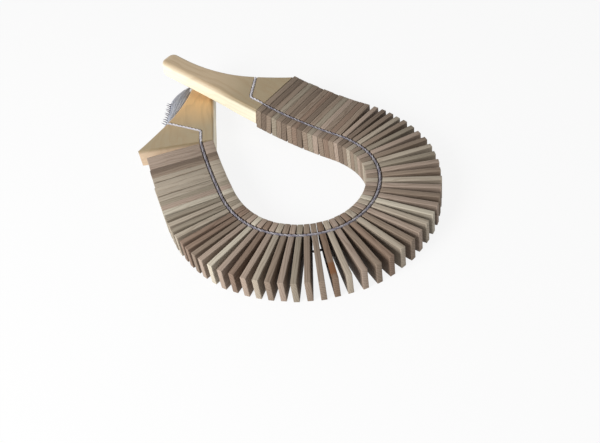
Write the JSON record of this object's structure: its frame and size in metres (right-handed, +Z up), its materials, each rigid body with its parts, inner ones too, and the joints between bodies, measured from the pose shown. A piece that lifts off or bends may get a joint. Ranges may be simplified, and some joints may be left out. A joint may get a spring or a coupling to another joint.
{
  "type": "slat clapper",
  "caption": "Folk percussion clapper: thin wooden slats strung side by side on a cord between two wooden handles, fanned into a horseshoe.",
  "frame": {"origin": "under the middle of the whole object, on the surface it lies on", "axes": "+Z up, square to the table; +Y along the lower handle's grip, away from the front; +X to the right, as the fan's round end faces the front"},
  "size_m": [0.2942, 0.3488, 0.0588],
  "materials": {
    "slat_tone_1": "dry sawn wood",
    "slat_tone_2": "dry sawn wood",
    "slat_tone_3": "dry sawn wood",
    "slat_tone_4": "dry sawn wood",
    "slat_tone_5": "dry sawn wood",
    "handle_wood": "smooth sanded light wood with a thin clear coat",
    "cord": "twisted two-strand cord"
  },
  "bodies": {
    "lower_handle": {"lower_handle": "handle_wood", "lower_handle_cord": "cord", "frayed_ends": "cord", "top_cord": "cord", "bottom_cord": "cord"},
    "slats_01_03": {"slats_01_03": "slat_tone_4"},
    "slats_04_06": {"slats_04_06": "slat_tone_5"},
    "slats_07_09": {"slats_07_09": "slat_tone_1"},
    "slats_10_13": {"slats_10_13": "slat_tone_2"},
    "slat_14": {"slat_14": "slat_tone_1"},
    "slat_15": {"slat_15": "slat_tone_1"},
    "slat_16": {"slat_16": "slat_tone_4"},
    "slat_17": {"slat_17": "slat_tone_2"},
    "slat_18": {"slat_18": "slat_tone_2"},
    "slat_19": {"slat_19": "slat_tone_5"},
    "slat_20": {"slat_20": "slat_tone_3"},
    "slat_21": {"slat_21": "slat_tone_3"},
    "slat_22": {"slat_22": "slat_tone_1"},
    "slat_23": {"slat_23": "slat_tone_4"},
    "slat_24": {"slat_24": "slat_tone_4"},
    "slat_25": {"slat_25": "slat_tone_2"},
    "slat_26": {"slat_26": "slat_tone_5"},
    "slat_27": {"slat_27": "slat_tone_5"},
    "slat_28": {"slat_28": "slat_tone_3"},
    "slat_29": {"slat_29": "slat_tone_1"},
    "slat_30": {"slat_30": "slat_tone_1"},
    "slat_31": {"slat_31": "slat_tone_4"},
    "slat_32": {"slat_32": "slat_tone_2"},
    "slat_33": {"slat_33": "slat_tone_2"},
    "slat_34": {"slat_34": "slat_tone_5"},
    "slat_35": {"slat_35": "slat_tone_3"},
    "slat_36": {"slat_36": "slat_tone_3"},
    "slat_37": {"slat_37": "slat_tone_1"},
    "slat_38": {"slat_38": "slat_tone_4"},
    "slat_39": {"slat_39": "slat_tone_4"},
    "slat_40": {"slat_40": "slat_tone_2"},
    "slat_41": {"slat_41": "slat_tone_5"},
    "slat_42": {"slat_42": "slat_tone_5"},
    "slat_43": {"slat_43": "slat_tone_3"},
    "slat_44": {"slat_44": "slat_tone_1"},
    "slat_45": {"slat_45": "slat_tone_1"},
    "slat_46": {"slat_46": "slat_tone_4"},
    "slat_47": {"slat_47": "slat_tone_2"},
    "slat_48": {"slat_48": "slat_tone_2"},
    "slat_49": {"slat_49": "slat_tone_5"},
    "slat_50": {"slat_50": "slat_tone_3"},
    "slat_51": {"slat_51": "slat_tone_3"},
    "slat_52": {"slat_52": "slat_tone_1"},
    "slat_53": {"slat_53": "slat_tone_4"},
    "slat_54": {"slat_54": "slat_tone_4"},
    "slat_55": {"slat_55": "slat_tone_2"},
    "slat_56": {"slat_56": "slat_tone_5"},
    "slat_57": {"slat_57": "slat_tone_5"},
    "slats_58_60": {"slats_58_60": "slat_tone_3"},
    "slats_61_63": {"slats_61_63": "slat_tone_4"},
    "slats_64_66": {"slats_64_66": "slat_tone_5"},
    "slats_67_69": {"slats_67_69": "slat_tone_1"},
    "slats_70_72": {"slats_70_72": "slat_tone_2"},
    "upper_handle": {"upper_handle": "handle_wood", "upper_handle_cord": "cord"}
  },
  "joints": [
    {"name": "lower_handle_to_slats_01_03", "type": "hinge", "parent": "lower_handle", "child": "slats_01_03", "pos_m": [-0.06833, 0.04027, 0.012], "axis": [0, 0, 1], "range_deg": [-10.9, 0], "deforming": ["top_cord", "bottom_cord"]},
    {"name": "slats_01_03_to_slats_04_06", "type": "hinge", "parent": "slats_01_03", "child": "slats_04_06", "pos_m": [-0.06447, 0.02024, 0.012], "axis": [0, 0, 1], "range_deg": [-1.5, 1]},
    {"name": "slats_04_06_to_slats_07_09", "type": "hinge", "parent": "slats_04_06", "child": "slats_07_09", "pos_m": [-0.06009, 0.00032, 0.012], "axis": [0, 0, 1], "range_deg": [-1.5, 1]},
    {"name": "slats_07_09_to_slats_10_13", "type": "hinge", "parent": "slats_07_09", "child": "slats_10_13", "pos_m": [-0.05519, -0.01949, 0.012], "axis": [0, 0, 1], "range_deg": [-1.5, 1]},
    {"name": "slats_10_13_to_slat_14", "type": "hinge", "parent": "slats_10_13", "child": "slat_14", "pos_m": [-0.04797, -0.04571, 0.012], "axis": [0, 0, 1], "range_deg": [-2.8, 0]},
    {"name": "slat_14_to_slat_15", "type": "hinge", "parent": "slat_14", "child": "slat_15", "pos_m": [-0.04622, -0.05103, 0.012], "axis": [0, 0, 1], "range_deg": [-2.8, 0]},
    {"name": "slat_15_to_slat_16", "type": "hinge", "parent": "slat_15", "child": "slat_16", "pos_m": [-0.04421, -0.05626, 0.012], "axis": [0, 0, 1], "range_deg": [-2.8, 0]},
    {"name": "slat_16_to_slat_17", "type": "hinge", "parent": "slat_16", "child": "slat_17", "pos_m": [-0.04195, -0.06138, 0.012], "axis": [0, 0, 1], "range_deg": [-2.8, 0]},
    {"name": "slat_17_to_slat_18", "type": "hinge", "parent": "slat_17", "child": "slat_18", "pos_m": [-0.03945, -0.06639, 0.012], "axis": [0, 0, 1], "range_deg": [-3.7, 0]},
    {"name": "slat_18_to_slat_19", "type": "hinge", "parent": "slat_18", "child": "slat_19", "pos_m": [-0.03662, -0.07122, 0.012], "axis": [0, 0, 1], "range_deg": [-3.7, 0]},
    {"name": "slat_19_to_slat_20", "type": "hinge", "parent": "slat_19", "child": "slat_20", "pos_m": [-0.03349, -0.07587, 0.012], "axis": [0, 0, 1], "range_deg": [-3.7, 0]},
    {"name": "slat_20_to_slat_21", "type": "hinge", "parent": "slat_20", "child": "slat_21", "pos_m": [-0.03007, -0.0803, 0.012], "axis": [0, 0, 1], "range_deg": [-3.7, 0]},
    {"name": "slat_21_to_slat_22", "type": "hinge", "parent": "slat_21", "child": "slat_22", "pos_m": [-0.02636, -0.0845, 0.012], "axis": [0, 0, 1], "range_deg": [-5.1, 0]},
    {"name": "slat_22_to_slat_23", "type": "hinge", "parent": "slat_22", "child": "slat_23", "pos_m": [-0.0223, -0.08835, 0.012], "axis": [0, 0, 1], "range_deg": [-5.1, 0]},
    {"name": "slat_23_to_slat_24", "type": "hinge", "parent": "slat_23", "child": "slat_24", "pos_m": [-0.01791, -0.09183, 0.012], "axis": [0, 0, 1], "range_deg": [-5.1, 0]},
    {"name": "slat_24_to_slat_25", "type": "hinge", "parent": "slat_24", "child": "slat_25", "pos_m": [-0.01323, -0.09491, 0.012], "axis": [0, 0, 1], "range_deg": [-5.1, 0]},
    {"name": "slat_25_to_slat_26", "type": "hinge", "parent": "slat_25", "child": "slat_26", "pos_m": [-0.0083, -0.09755, 0.012], "axis": [0, 0, 1], "range_deg": [-4.6, 0]},
    {"name": "slat_26_to_slat_27", "type": "hinge", "parent": "slat_26", "child": "slat_27", "pos_m": [-0.00316, -0.09979, 0.012], "axis": [0, 0, 1], "range_deg": [-4.6, 0]},
    {"name": "slat_27_to_slat_28", "type": "hinge", "parent": "slat_27", "child": "slat_28", "pos_m": [0.00213, -0.10162, 0.012], "axis": [0, 0, 1], "range_deg": [-4.6, 0]},
    {"name": "slat_28_to_slat_29", "type": "hinge", "parent": "slat_28", "child": "slat_29", "pos_m": [0.00756, -0.10301, 0.012], "axis": [0, 0, 1], "range_deg": [-4.6, 0]},
    {"name": "slat_29_to_slat_30", "type": "hinge", "parent": "slat_29", "child": "slat_30", "pos_m": [0.01307, -0.10397, 0.012], "axis": [0, 0, 1], "range_deg": [-5.1, 0]},
    {"name": "slat_30_to_slat_31", "type": "hinge", "parent": "slat_30", "child": "slat_31", "pos_m": [0.01866, -0.10442, 0.012], "axis": [0, 0, 1], "range_deg": [-5.1, 0]},
    {"name": "slat_31_to_slat_32", "type": "hinge", "parent": "slat_31", "child": "slat_32", "pos_m": [0.02425, -0.10438, 0.012], "axis": [0, 0, 1], "range_deg": [-5.1, 0]},
    {"name": "slat_32_to_slat_33", "type": "hinge", "parent": "slat_32", "child": "slat_33", "pos_m": [0.02983, -0.10385, 0.012], "axis": [0, 0, 1], "range_deg": [-5.1, 0]},
    {"name": "slat_33_to_slat_34", "type": "hinge", "parent": "slat_33", "child": "slat_34", "pos_m": [0.03533, -0.10282, 0.012], "axis": [0, 0, 1], "range_deg": [-6.4, 0]},
    {"name": "slat_34_to_slat_35", "type": "hinge", "parent": "slat_34", "child": "slat_35", "pos_m": [0.04069, -0.10118, 0.012], "axis": [0, 0, 1], "range_deg": [-6.4, 0]},
    {"name": "slat_35_to_slat_36", "type": "hinge", "parent": "slat_35", "child": "slat_36", "pos_m": [0.04583, -0.09896, 0.012], "axis": [0, 0, 1], "range_deg": [-6.4, 0]},
    {"name": "slat_36_to_slat_37", "type": "hinge", "parent": "slat_36", "child": "slat_37", "pos_m": [0.05069, -0.09617, 0.012], "axis": [0, 0, 1], "range_deg": [-6.4, 0]},
    {"name": "slat_37_to_slat_38", "type": "hinge", "parent": "slat_37", "child": "slat_38", "pos_m": [0.05521, -0.09287, 0.012], "axis": [0, 0, 1], "range_deg": [-5.5, 0]},
    {"name": "slat_38_to_slat_39", "type": "hinge", "parent": "slat_38", "child": "slat_39", "pos_m": [0.05939, -0.08914, 0.012], "axis": [0, 0, 1], "range_deg": [-5.5, 0]},
    {"name": "slat_39_to_slat_40", "type": "hinge", "parent": "slat_39", "child": "slat_40", "pos_m": [0.06319, -0.08503, 0.012], "axis": [0, 0, 1], "range_deg": [-5.5, 0]},
    {"name": "slat_40_to_slat_41", "type": "hinge", "parent": "slat_40", "child": "slat_41", "pos_m": [0.06659, -0.08058, 0.012], "axis": [0, 0, 1], "range_deg": [-5.5, 0]},
    {"name": "slat_41_to_slat_42", "type": "hinge", "parent": "slat_41", "child": "slat_42", "pos_m": [0.06954, -0.07582, 0.012], "axis": [0, 0, 1], "range_deg": [-5.3, 0]},
    {"name": "slat_42_to_slat_43", "type": "hinge", "parent": "slat_42", "child": "slat_43", "pos_m": [0.07204, -0.07081, 0.012], "axis": [0, 0, 1], "range_deg": [-5.3, 0]},
    {"name": "slat_43_to_slat_44", "type": "hinge", "parent": "slat_43", "child": "slat_44", "pos_m": [0.07406, -0.06559, 0.012], "axis": [0, 0, 1], "range_deg": [-5.3, 0]},
    {"name": "slat_44_to_slat_45", "type": "hinge", "parent": "slat_44", "child": "slat_45", "pos_m": [0.07559, -0.0602, 0.012], "axis": [0, 0, 1], "range_deg": [-5.3, 0]},
    {"name": "slat_45_to_slat_46", "type": "hinge", "parent": "slat_45", "child": "slat_46", "pos_m": [0.07662, -0.0547, 0.012], "axis": [0, 0, 1], "range_deg": [-5.4, 0]},
    {"name": "slat_46_to_slat_47", "type": "hinge", "parent": "slat_46", "child": "slat_47", "pos_m": [0.07713, -0.04912, 0.012], "axis": [0, 0, 1], "range_deg": [-5.4, 0]},
    {"name": "slat_47_to_slat_48", "type": "hinge", "parent": "slat_47", "child": "slat_48", "pos_m": [0.07711, -0.04352, 0.012], "axis": [0, 0, 1], "range_deg": [-5.4, 0]},
    {"name": "slat_48_to_slat_49", "type": "hinge", "parent": "slat_48", "child": "slat_49", "pos_m": [0.07657, -0.03794, 0.012], "axis": [0, 0, 1], "range_deg": [-5.4, 0]},
    {"name": "slat_49_to_slat_50", "type": "hinge", "parent": "slat_49", "child": "slat_50", "pos_m": [0.0755, -0.03245, 0.012], "axis": [0, 0, 1], "range_deg": [-5.1, 0]},
    {"name": "slat_50_to_slat_51", "type": "hinge", "parent": "slat_50", "child": "slat_51", "pos_m": [0.07394, -0.02707, 0.012], "axis": [0, 0, 1], "range_deg": [-5.1, 0]},
    {"name": "slat_51_to_slat_52", "type": "hinge", "parent": "slat_51", "child": "slat_52", "pos_m": [0.07192, -0.02185, 0.012], "axis": [0, 0, 1], "range_deg": [-5.1, 0]},
    {"name": "slat_52_to_slat_53", "type": "hinge", "parent": "slat_52", "child": "slat_53", "pos_m": [0.06944, -0.01683, 0.012], "axis": [0, 0, 1], "range_deg": [-5.1, 0]},
    {"name": "slat_53_to_slat_54", "type": "hinge", "parent": "slat_53", "child": "slat_54", "pos_m": [0.06652, -0.01205, 0.012], "axis": [0, 0, 1], "range_deg": [-3.5, 0]},
    {"name": "slat_54_to_slat_55", "type": "hinge", "parent": "slat_54", "child": "slat_55", "pos_m": [0.06332, -0.00745, 0.012], "axis": [0, 0, 1], "range_deg": [-3.5, 0]},
    {"name": "slat_55_to_slat_56", "type": "hinge", "parent": "slat_55", "child": "slat_56", "pos_m": [0.05984, -0.00306, 0.012], "axis": [0, 0, 1], "range_deg": [-3.5, 0]},
    {"name": "slat_56_to_slat_57", "type": "hinge", "parent": "slat_56", "child": "slat_57", "pos_m": [0.0561, 0.0011, 0.012], "axis": [0, 0, 1], "range_deg": [-3.5, 0]},
    {"name": "slat_57_to_slats_58_60", "type": "hinge", "parent": "slat_57", "child": "slats_58_60", "pos_m": [0.05211, 0.00504, 0.012], "axis": [0, 0, 1], "range_deg": [-4.4, 0]},
    {"name": "slats_58_60_to_slats_61_63", "type": "hinge", "parent": "slats_58_60", "child": "slats_61_63", "pos_m": [0.03745, 0.01743, 0.012], "axis": [0, 0, 1], "range_deg": [0, 1]},
    {"name": "slats_61_63_to_slats_64_66", "type": "hinge", "parent": "slats_61_63", "child": "slats_64_66", "pos_m": [0.02235, 0.03019, 0.01295], "axis": [0.0373, -0.0315, 0.9988], "range_deg": [0, 1]},
    {"name": "slats_64_66_to_slats_67_69", "type": "hinge", "parent": "slats_64_66", "child": "slats_67_69", "pos_m": [0.00731, 0.0429, 0.01487], "axis": [0.0745, -0.063, 0.9952], "range_deg": [0, 1]},
    {"name": "slats_67_69_to_slats_70_72", "type": "hinge", "parent": "slats_67_69", "child": "slats_70_72", "pos_m": [-0.00764, 0.05553, 0.01775], "axis": [0.1116, -0.0943, 0.9893], "range_deg": [0, 1]},
    {"name": "slats_70_72_to_upper_handle", "type": "hinge", "parent": "slats_70_72", "child": "upper_handle", "pos_m": [-0.02247, 0.06806, 0.02157], "axis": [0.1484, -0.1254, 0.981], "range_deg": [-0.3, 1]}
  ]
}
